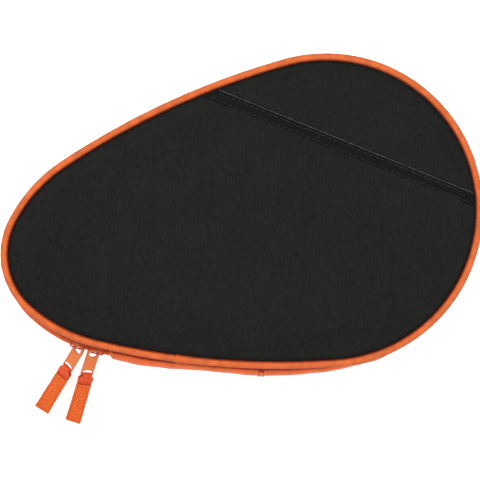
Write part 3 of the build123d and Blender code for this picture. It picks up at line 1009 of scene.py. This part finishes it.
def pocket_fold_highlight_rim(tree):
    """The fold's pressed edge: a thin tube painted paler than the rest of the cloth, a painted highlight
    where the edge catches the light.
    """
    first, last = mouth_span(0.0, HEM_END)
    reach = np.linspace(first + 0.0004, last - 0.0004, 330)
    spots = mouth_place(reach, 0.00022)
    heights = np.array([height_on(tree, *spot, THICKNESS) for spot in spots]) - FOLD_RIM_R * 0.45
    heights = np.convolve(np.pad(heights, 2, "edge"), np.ones(5) / 5, "valid")
    # The painted highlight's width varies along the fold
    edge_factor = 0.75 + 0.25 * rough(np.stack([reach, reach * 0, reach * 0], -1), (0.004, 1.0, 1.0), 27)
    path = np.concatenate([spots, heights[:, None]], 1)
    obj = tubes("pocket_fold_highlight_rim", path[None], FOLD_RIM_R * edge_factor, fold_highlight_nylon)
    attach(obj, "front_half")


def pocket_stitching(tree):
    """Two rows of sewing that hold the fold down."""
    starts, ends = [], []
    for row in STITCH_ROWS:
        first, last = mouth_span(row, -0.0035)
        for i in range(int((last - first) / STITCH_PITCH)):
            below = row + 0.00008 * noise.noise(Vector((i * 0.7, row * 900, 4.0)))
            for share, found in ((0.0, starts), (STITCH_SHARE, ends)):
                spot = mouth_place(first + (i + share) * STITCH_PITCH, below)
                found.append((*spot, height_on(tree, *spot, THICKNESS) + STITCH_R * 0.4))
    ups = np.tile((0.0, 0.0, 1.0), (len(starts), 1))
    obj = stitches("pocket_stitch_rows", starts, ends, ups, STITCH_R, black_thread)
    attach(obj, "front_half")
    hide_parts("pocket_stitching")


# Piping, with the lapped joint where its ends meet

PIPING_R = 0.0021
PIPING_OFFSET = 0.0024
PIPING_Z = THICKNESS - 0.0036

# How much wider the piping's cloth is on the side where it spreads over the panel
PIPING_SPREAD = 1.24
PIPING_STEP = 0.0011
PIPING_SIDES = 18
LAP_AT = 252.4
LAP_LENGTH = 0.011
LAP_RISE = 0.00042

# The cloth's two edges are pinched together on the side of the seam
SEAM_SIDE = radians(235)
SEAM_PINCH = 0.00035


def piping_points(normals, extra, half):
    """Rings of cloth round the piping cord, spread over the panel's edge, with small puckers."""
    angles = np.linspace(0, tau, PIPING_SIDES, endpoint=False)[None, :]
    turn = (length_at(normals)[:, None] - length_at(0)) / PERIMETER * tau
    circle = np.stack(np.broadcast_arrays(np.cos(turn), np.sin(turn), angles * 0), -1) * (PERIMETER / tau)
    wrapped = circle.copy()
    wrapped[..., 2] += np.sin(angles) * 0.006
    creases = ((0.0052,) * 3, 31 + half, 0.00011)
    gathers = ((0.0022, 0.0022, 0.0032), 33 + half, 0.00005)
    pucker = uneven(wrapped, creases, gathers)
    slow = rough(circle, (0.05,) * 3, 35 + half) * 0.00009
    pinch = SEAM_PINCH * np.clip(np.cos(angles - SEAM_SIDE), 0, 1) ** 4
    radius = PIPING_R + pucker + slow + pinch + extra
    spread = np.where(np.cos(angles) < 0, PIPING_SPREAD, 1.0)
    offsets = PIPING_OFFSET + radius * spread * np.cos(angles)
    if half == BACK:
        offsets = offsets + heel_lean(normals)[:, None]
    heights = PIPING_Z + radius * np.sin(angles)
    return mirrored(place(normals[:, None], offsets, heights), half)


def piping(half):
    """The cloth tube round one panel."""
    points = piping_points(evenly(0, FULL_TURN, PIPING_STEP)[:-1], 0.0, half)
    obj = swept(f"{side_name(half)}_piping_cloth", points, bias_nylon[half], loop_path=True)
    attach(obj, body_name(half))
    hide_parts(f"{side_name(half)}_piping")


def piping_lap(half):
    """The folded end that laps over the other: a step at one side that thins out to the other."""
    end = normal_at(length_at(LAP_AT) + LAP_LENGTH)
    normals = evenly(LAP_AT, end, 0.0004)
    share = (length_at(normals) - length_at(LAP_AT)) / LAP_LENGTH
    nose = round_end(share * LAP_LENGTH / 0.0004)
    extra = (LAP_RISE * (1 - smooth(share)) + 0.00004) * (0.55 + 0.45 * nose)
    outer = piping_points(normals, extra[:, None], half)
    inner = piping_points(normals, -0.0001, half)
    points = np.concatenate([inner[:1], outer, inner[-1:]])
    obj = swept(f"{side_name(half)}_piping_lap", points, bias_nylon[half], capped=True)
    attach(obj, body_name(half))
    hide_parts(f"{side_name(half)}_piping_joint")


# Zip

TAPE_TOP = 0.03225
CHAIN_Z = 0.0196
COIL_TOP = 0.0220
TAPE_THICK = 0.0007
TAPE_OFFSET = 0.0018
COIL_OFFSET = 0.00265
COIL_DEPTH = 0.00052
COIL_WIRE = 0.00027
COIL_PITCH = 0.0015
COIL_STATIONS = 9
COIL_OVERLAP = 0.0009
ZIP_START = HINGE_END + 0.12
ZIP_END = HINGE_START - 0.12 + FULL_TURN
SEAM_PITCH = 0.0030
SEAM_STITCH_SHARE = 0.74
SEAM_THREAD = 0.00017
COIL_THREAD = 0.00012
TAPE_SEAM_Z = 0.0308
COIL_SEAM_Z = COIL_TOP - 0.0007


def tape_offset(height_share, normals, half):
    """The tape bows outwards a little between its seam and the chain."""
    length = length_at(normals)
    wave = 0.00025 * np.sin(length / 0.021) + 0.00015 * np.sin(length / 0.0083 + 1.0)
    lean = heel_lean(normals) * height_share**1.5 if half == BACK else 0.0
    return TAPE_OFFSET - 0.0002 + lean + (0.0005 + wave) * np.sin(height_share * pi)


def zip_tape(half):
    normals = evenly(ZIP_START, ZIP_END, 0.0020)[:, None]
    share = np.linspace(0, 1, 9)[None, :]
    heights = CHAIN_Z + share * (TAPE_TOP - CHAIN_Z)
    points = mirrored(place(normals, tape_offset(share, normals, half), heights), half)
    obj = swept(f"{side_name(half)}_tape_weave", points, tape_weave, loop_section=False)
    face_out(obj)
    thicken(obj, TAPE_THICK)
    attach(obj, body_name(half))
    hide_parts(f"{side_name(half)}_zip_tape")


def face_out(obj):
    """Turns an open wall's faces away from the middle of the case."""
    out = sum(p.normal.xy.dot(p.center.xy) * p.area for p in obj.data.polygons)
    if out < 0:
        obj.data.flip_normals()


def zip_coil(half):
    """One side's teeth: a single filament wound in a helix along the tape's edge."""
    start, end = length_at(ZIP_START), length_at(ZIP_END)
    turns = int((end - start) / COIL_PITCH)
    phase = np.linspace(0, turns, turns * COIL_STATIONS + 1)
    normals = normal_at(start + (phase + (0.5 if half == BACK else 0.0)) * COIL_PITCH)
    middle = (COIL_TOP + MID_Z - COIL_OVERLAP / 2) / 2
    reach = (COIL_TOP - MID_Z + COIL_OVERLAP / 2) / 2 - COIL_WIRE
    offsets = COIL_OFFSET + COIL_DEPTH * np.cos(phase * tau)
    heights = middle + reach * np.sin(phase * tau)
    path = mirrored(place(normals, offsets, heights), half)
    obj = tubes(f"{side_name(half)}_coil_teeth", path[None], COIL_WIRE, orange_filament, sides=5)
    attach(obj, body_name(half))
    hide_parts(f"{side_name(half)}_zip_coil")


def outline_stitches(name, height, offset_at, pitch, radius, half):
    """A row of stitches along the zip."""
    normals = evenly(ZIP_START + 0.3, ZIP_END - 0.3, pitch)
    begin = normals[:-1]
    finish = begin + (normals[1:] - begin) * SEAM_STITCH_SHARE
    rows = [place(n, offset_at(n) + radius * 0.4, height) for n in (begin, finish)]
    starts, ends = (mirrored(row, half) for row in rows)
    ups = place(begin, 1.0, 0.0) - place(begin, 0.0, 0.0)
    obj = stitches(f"{side_name(half)}_{name}_stitches", starts, ends, ups, radius, orange_thread)
    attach(obj, body_name(half))


def tape_sewing(half):
    """The seam that holds the tape under the piping, and the sewing through the coil."""
    share = (TAPE_SEAM_Z - CHAIN_Z) / (TAPE_TOP - CHAIN_Z)
    outline_stitches(
        "tape", TAPE_SEAM_Z, lambda normals: tape_offset(share, normals, half), SEAM_PITCH, SEAM_THREAD, half
    )
    coil_face = COIL_OFFSET + COIL_DEPTH + COIL_WIRE * 0.6
    outline_stitches("coil", COIL_SEAM_Z, lambda normals: coil_face, COIL_PITCH, COIL_THREAD, half)


# Hinge gusset

GUSSET_HIGH = THICKNESS - 0.00635
FULLNESS = pi / 2 * 0.94
GUSSET_SEAM_AT = 258.7
SEAM_STRIP_HALF = 0.0018
SEAM_STITCH_AT = 0.0013
GUSSET_THICK = 0.0008
GUSSET_SEWN = 0.0022
GUSSET_BOW = 2.6
HINGE_LENGTH = length_at(HINGE_END) - length_at(HINGE_START)

# How far out the gusset bulges at each distance along it: a short swell beside the sliders, then a long one
GUSSET_MARKS = (0.0, 0.005, 0.017, 0.037, 0.056, 0.073, 0.092, 0.126, 0.146, 0.185, 0.192)
GUSSET_SWELLS = (0.0088, 0.0100, 0.0106, 0.0094, 0.0084, 0.0087, 0.0096, 0.0085, 0.0064, 0.0044, 0.0035)
SWELL_PLACES = np.linspace(0, HINGE_LENGTH, 400)
EASE = np.hanning(33) / np.hanning(33).sum()
SWELL_STEPS = np.interp(SWELL_PLACES, GUSSET_MARKS, GUSSET_SWELLS)
SWELL_SIZES = np.convolve(np.pad(SWELL_STEPS, len(EASE) // 2, "edge"), EASE, "valid")


# The cloth turns back to the wall within this length of each end
GUSSET_TURN = 0.0024


def gusset_reach(normals):
    s = length_at(normals) - length_at(HINGE_START)
    turned = round_end(np.minimum(s, HINGE_LENGTH - s) / GUSSET_TURN)
    return GUSSET_SEWN + (np.interp(s, SWELL_PLACES, SWELL_SIZES) - GUSSET_SEWN) * turned


def gusset_stations(first, last, step):
    """Normals along the gusset, closer together where it turns back at its ends."""
    start, end = length_at(first), length_at(last)
    plain = np.linspace(start, end, max(2, round((end - start) / step)) + 1)
    turn = GUSSET_TURN * np.linspace(0, 1, 9)[1:] ** 2
    ends = np.concatenate([length_at(HINGE_START) + turn, length_at(HINGE_END) - turn])
    inside = ends[(ends > start) & (ends < end)]
    return normal_at(np.sort(np.concatenate([plain, inside])))


def gusset_offset(normals, u):
    """Offset of the gusset's cloth at u, from -1 at the back seam to 1 at the front seam."""
    bow = np.sqrt(np.clip(1 - np.abs(u) ** GUSSET_BOW, 0, 1))
    s = length_at(normals)
    spot = np.stack(np.broadcast_arrays(s, u * 0.012, s * 0), -1)
    folds = uneven(spot, ((0.013, 0.03, 1.0), 41, 0.0006), ((0.005, 0.013, 1.0), 43, 0.00022))
    puckers = rough(spot, (0.0024, 0.006, 1.0), 45) * 0.00022 * smooth((np.abs(u) - 0.62) / 0.3)
    return GUSSET_SEWN + (gusset_reach(normals) - GUSSET_SEWN) * bow + (folds + puckers) * bow**0.5


def gusset_height(u):
    """Height of the gusset's cloth at u, fuller towards its seams."""
    return MID_Z + (GUSSET_HIGH - MID_Z) * np.sin(u * FULLNESS) / sin(FULLNESS)


def gusset_cloth(name, first, last, node_name, step=0.0014, thick=GUSSET_THICK, rise=0.0, reach=1.0):
    normals = gusset_stations(first, last, step)[:, None]
    u = np.linspace(-reach, reach, 34)[None, :]
    points = place(normals, gusset_offset(normals, u) + rise, gusset_height(u))
    obj = swept(name, points, gusset_nylon, loop_section=False)
    face_out(obj)
    thicken(obj, thick)
    fold_with_lid(obj)
    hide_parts(node_name)
    return obj


def fold_with_lid(obj):
    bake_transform(obj)


def gusset():
    """The hinge's two lengths of cloth, and the strip over the lapped seam between them."""
    tail = gusset_cloth("gusset_tail_cloth", HINGE_START, GUSSET_SEAM_AT, "gusset_tail_length")
    head = gusset_cloth("gusset_head_cloth", GUSSET_SEAM_AT, HINGE_END, "gusset_head_length")
    half_width = degrees(SEAM_STRIP_HALF / SIDE_R)
    ends = (GUSSET_SEAM_AT - half_width, GUSSET_SEAM_AT + half_width)
    gusset_cloth("gusset_seam_cloth", *ends, "gusset_seam_strip", 0.0006, 0.0004, 0.0004, 0.93)


def gusset_stitch_rows():
    """Sewing up the lapped seam's two edges and across the gusset's first end."""
    reach = degrees(SEAM_STITCH_AT / SIDE_R)
    first_end = normal_at(length_at(HINGE_START) + GUSSET_TURN + 0.0008)
    marks = np.linspace(-0.88, 0.88, 12)
    levels = (marks[:-1], marks[:-1] + np.diff(marks) * 0.72)
    starts, ends, ups = [], [], []
    rows = ((GUSSET_SEAM_AT - reach, 0.0005), (GUSSET_SEAM_AT + reach, 0.0005), (first_end, 0.0001))
    for normal, rise in rows:
        for found, level in zip((starts, ends), levels):
            where = np.full(len(level), normal)
            found.extend(place(where, gusset_offset(where, level) + rise, gusset_height(level)))
        ups.extend([(cos(radians(normal)), sin(radians(normal)), 0.0)] * len(levels[0]))
    obj = stitches("gusset_stitch_rows", starts, ends, ups, 0.0002, orange_thread)
    fold_with_lid(obj)


# Lining

LINING_FLOOR = {FRONT: 0.0317, BACK: 0.0326}
LINING_EDGE = -0.0027
LINING_RIM_Z = 0.0203
LINING_CORNER = 0.0032
LINING_CELLS = 56
LINING_THICK = 0.0005


def lining_roll(floor):
    """From the lining's floor round its corner, down the wall and out to its turned rim."""
    bend = [pi / 2 * step / 4 for step in range(1, 5)]
    side, corner, wall_top = LINING_EDGE, LINING_CORNER, floor - LINING_CORNER
    around = [(side - corner * (1 - sin(a)), floor - corner * (1 - cos(a))) for a in bend]
    drop = wall_top - LINING_RIM_Z - 0.001
    wall = [(side, wall_top - drop * share) for share in (0.33, 0.66, 1.0)]
    rim = [(side + 0.0005, LINING_RIM_Z + 0.0003), (side + 0.0018, LINING_RIM_Z)]
    return around + wall + rim


def lining(half):
    """The loose black cloth that lines one half, seen when the lid is open."""
    floor = LINING_FLOOR[half]
    roll = lining_roll(floor)
    obj = pad(f"{side_name(half)}_lining_cloth", LINING_CELLS, floor, 0.0, roll, black_lining, inward=True)
    points = points_of(obj)
    inside = smooth((-offset_of(points) - 0.006) / 0.02)
    points[:, 2] -= inside * (0.0003 + 0.0004 * np.abs(rough(points, (0.03,) * 3, 51 + half)))
    set_points(obj, points)
    subdivide(obj)
    thicken(obj, LINING_THICK)
    flip_half(obj, half)
    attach(obj, body_name(half))
    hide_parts(f"{side_name(half)}_lining")


# Sliders, bails and plates

EDGE_ROUND = {"body": 0.00028, "bail": 0.0001, "plate": 0.00016}


def dress_metal(name, rounding, finish):
    """Keeps a CAD piece, with its sharp edges eased and its paint on."""
    obj = frame["nodes"][name]
    weld = obj.modifiers.new("weld", "WELD")
    weld.merge_threshold = 0.00001
    ease = obj.modifiers.new("ease", "BEVEL")
    ease.width = rounding
    ease.segments = 3
    ease.limit_method = "ANGLE"
    ease.angle_limit = radians(38)
    ease.harden_normals = True
    paint(obj, finish)


def paint(obj, material):
    obj.data.materials.clear()
    obj.data.materials.append(material)


# Tags

TAG_WIDTH = 0.010
TAG_THICK = 0.0016
TAG_END = 0.0336
LOOP_WIDTH = 0.0064
LOOP_R = 0.00135
BAND_THICK = 0.0008
FLARE_FROM = -0.0004
FLARE_TO = 0.0022
STRAP_FROM = 0.0056
TAG_SEAM_AT = 0.0062
TAG_UNTWIST_FROM = 0.00145
TAG_ROUND = 0.0006
BOX_THREAD = 0.00018
CLOSING_THREAD = 0.00032

# The loop's upper layer, from the seam to the bar: distance from the bar, and height
LOOP_LAYER = (
    (0.0063, 0.00036),
    (0.0056, 0.00042),
    (0.0046, 0.00058),
    (0.0035, 0.00074),
    (0.0024, 0.00094),
    (0.0015, 0.0011),
)


def joint_place(name):
    found = next(j for j in frame["joints"] if j["name"] == name)
    return Vector(found["pos_m"]), Vector(found["axis"])


def tag_axes(letter):
    """The bar's centre, the tag's direction, and its width direction at the bar and lying flat."""
    crown, _ = joint_place(f"pull_{letter}_lift")
    bar, width = joint_place(f"tag_{letter}_fold")
    length = (bar - crown).normalized()
    level = length.cross(Vector((0, 0, 1))).normalized()
    if level.dot(width) < 0:
        level = -level
    return bar, length, width.normalized(), level


def tag_width_at(letter, along):
    """The tag's width direction: it untwists evenly from the bar to its end."""
    _, _, width, level = tag_axes(letter)
    share = min(1.0, max(0.0, (along - TAG_UNTWIST_FROM) / (TAG_END - TAG_UNTWIST_FROM)))
    return width.lerp(level, share)


def tag_point(letter, along, across, rise):
    """A point of the tag from its distance down the strap, across it and above its middle."""
    bar, length, _, _ = tag_axes(letter)
    wide = tag_width_at(letter, along)
    face = wide.cross(length).normalized()
    if face.z < 0:
        face = -face
    return bar + length * along + wide * across + face * rise


def tag_section(half_width, half_thick, corner, notch):
    """A flat strap's outline: two layers with round edges and a groove between them."""
    inner, level = half_width - corner, half_thick - corner
    angles = np.linspace(pi / 2, 0, 4)[1:]
    points = []
    for side in (1, -1):
        points += [(side * share * inner, side * half_thick) for share in np.linspace(-1, 1, 9)]
        bend = [(side * (inner + corner * cos(a)), side * (level + corner * sin(a))) for a in angles]
        points += bend
        points.append((side * (half_width - notch), 0.0))
        points += [(x, -y) for x, y in reversed(bend)]
    return points


def tag_strap(letter):
    """The doubled strap, dented along its seam and rounded at its end."""
    rounded = [TAG_END - 0.0002, TAG_END]
    rows = []
    for along in np.concatenate([np.linspace(STRAP_FROM, TAG_END - TAG_ROUND, 44), rounded]):
        end = sqrt(max(0.0, 1 - max(0.0, (along - TAG_END + TAG_ROUND) / TAG_ROUND) ** 2))
        seam_dip = 0.00022 * np.exp(-(((along - TAG_SEAM_AT) / 0.0005) ** 2))
        half_thick = (TAG_THICK / 2 - seam_dip) * (0.35 + 0.65 * end)
        half_width = TAG_WIDTH / 2 + 0.00012 * wander((ord(letter), 2.0), along, 0.006)
        rise = 0.00015 * wander((ord(letter), 7.0), along, 0.009)
        section = tag_section(half_width, half_thick, half_thick * 0.48, 0.00018)
        rows.append([tuple(tag_point(letter, along, a, r + rise)) for a, r in section])
    return swept(f"tag_{letter}_strap", np.array(rows), strap_weave, capped=True)


def tag_loop(letter):
    """The strap's turn round the plate's bar, which spreads to full width below it and ends in the seam."""
    path = [*LOOP_LAYER, *loop_turn(), *((x, -y) for x, y in reversed(LOOP_LAYER))]
    rows = []
    for i, (along, rise) in enumerate(path):
        before, after = path[max(0, i - 1)], path[min(len(path) - 1, i + 1)]
        run = hypot(after[0] - before[0], after[1] - before[1])
        normal = ((before[1] - after[1]) / run, (after[0] - before[0]) / run)
        flare = smooth((along - FLARE_FROM) / (FLARE_TO - FLARE_FROM))
        half_width = (LOOP_WIDTH + (TAG_WIDTH - LOOP_WIDTH) * flare) / 2
        half_width += 0.00015 * wander((ord(letter), 5.0), along, 0.002) * flare
        row = []
        for angle in np.linspace(0, tau, 20, endpoint=False):
            across = half_width * np.sign(cos(angle)) * abs(cos(angle)) ** 0.35
            depth = BAND_THICK / 2 * np.sign(sin(angle)) * abs(sin(angle)) ** 0.6
            row.append(tuple(tag_point(letter, along + normal[0] * depth, across, rise + normal[1] * depth)))
        rows.append(row)
    # The loop takes the darker copy of the strap cloth: painted shade
    return swept(f"tag_{letter}_loop", np.array(rows), shaded_fold_weave, capped=True)


def loop_turn():
    """Round the far side of the bar, from above to below."""
    return [(LOOP_R * cos(a), LOOP_R * sin(a)) for a in np.linspace(radians(52), radians(308), 26)]


def tag_rows(name, letter, rows, radius, material):
    """Rows of stitches on a tag's face: each has its two ends, a count and the share that is thread."""
    starts, ends, ups = [], [], []
    for first, last, count, share in rows:
        first, last = np.array(first), np.array(last)
        for i in range(count):
            for found, at in ((starts, i / count), (ends, (i + share) / count)):
                found.append(tag_point(letter, *(first + (last - first) * at), TAG_THICK / 2 + 0.00004))
            along = first[0] + (last[0] - first[0]) * (i / count)
            ups.append(tag_point(letter, along, 0, 1.0) - tag_point(letter, along, 0, 0.0))
    return stitches(f"tag_{letter}_{name}_stitches", starts, ends, ups, radius, material)


def tag_sewing(letter):
    """The box of sewing round the doubled strap, and the line that closes the loop."""
    edge = TAG_WIDTH / 2 - 0.0011
    first, last = TAG_SEAM_AT + 0.0016, TAG_END - 0.0016
    sides = [((first, x), (last, x), 12, 0.7) for x in (edge, -edge)]
    across = ((last, -edge), (last, edge), 4, 0.7)
    box = tag_rows("box", letter, [*sides, across], BOX_THREAD, orange_thread)
    reach = edge + 0.0004
    line = ((TAG_SEAM_AT, -reach), (TAG_SEAM_AT, reach), 6, 0.86)
    bar = tag_rows("loop", letter, [line], CLOSING_THREAD, dark_thread)
    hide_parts(f"pull_{letter}_tag_seam")
    return box, bar


def tag(letter):
    strap = tag_strap(letter)
    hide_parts(f"pull_{letter}_tag")
    loop = tag_loop(letter)
    sewing = tag_sewing(letter)
    for obj in (strap, loop, *sewing):
        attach(obj, f"tag_{letter}")


def keep_hidden_cad():
    """Foam and piping cord stay as the CAD has them, inside their covers."""
    for half in (FRONT, BACK):
        paint(frame["nodes"][f"{side_name(half)}_foam"], grey_foam)
        paint(frame["nodes"][f"{side_name(half)}_piping_core"], white_cord)


add_camera()
add_studio()
keep_hidden_cad()
for side in (FRONT, BACK):
    skin = panel_skin(side)
    if side == FRONT:
        front_surface = surface_of(skin)
    piping(side)
    piping_lap(side)
    zip_tape(side)
    zip_coil(side)
    tape_sewing(side)
    lining(side)
pocket = pocket_skin()
hem = pocket_hem(surface_of(pocket), front_surface)
hem_surface = surface_of(hem)
pocket_fold_highlight_rim(hem_surface)
pocket_stitching(hem_surface)
gusset()
gusset_stitch_rows()
for pull in ("a", "b"):
    # The slider bodies and bails take the darker red copy of the paint: painted shade
    dress_metal(f"slider_{pull}_body", EDGE_ROUND["body"], shaded_orange_paint)
    dress_metal(f"slider_{pull}_bail", EDGE_ROUND["bail"], shaded_orange_paint)
    dress_metal(f"pull_{pull}_plate", EDGE_ROUND["plate"], orange_paint)
    tag(pull)
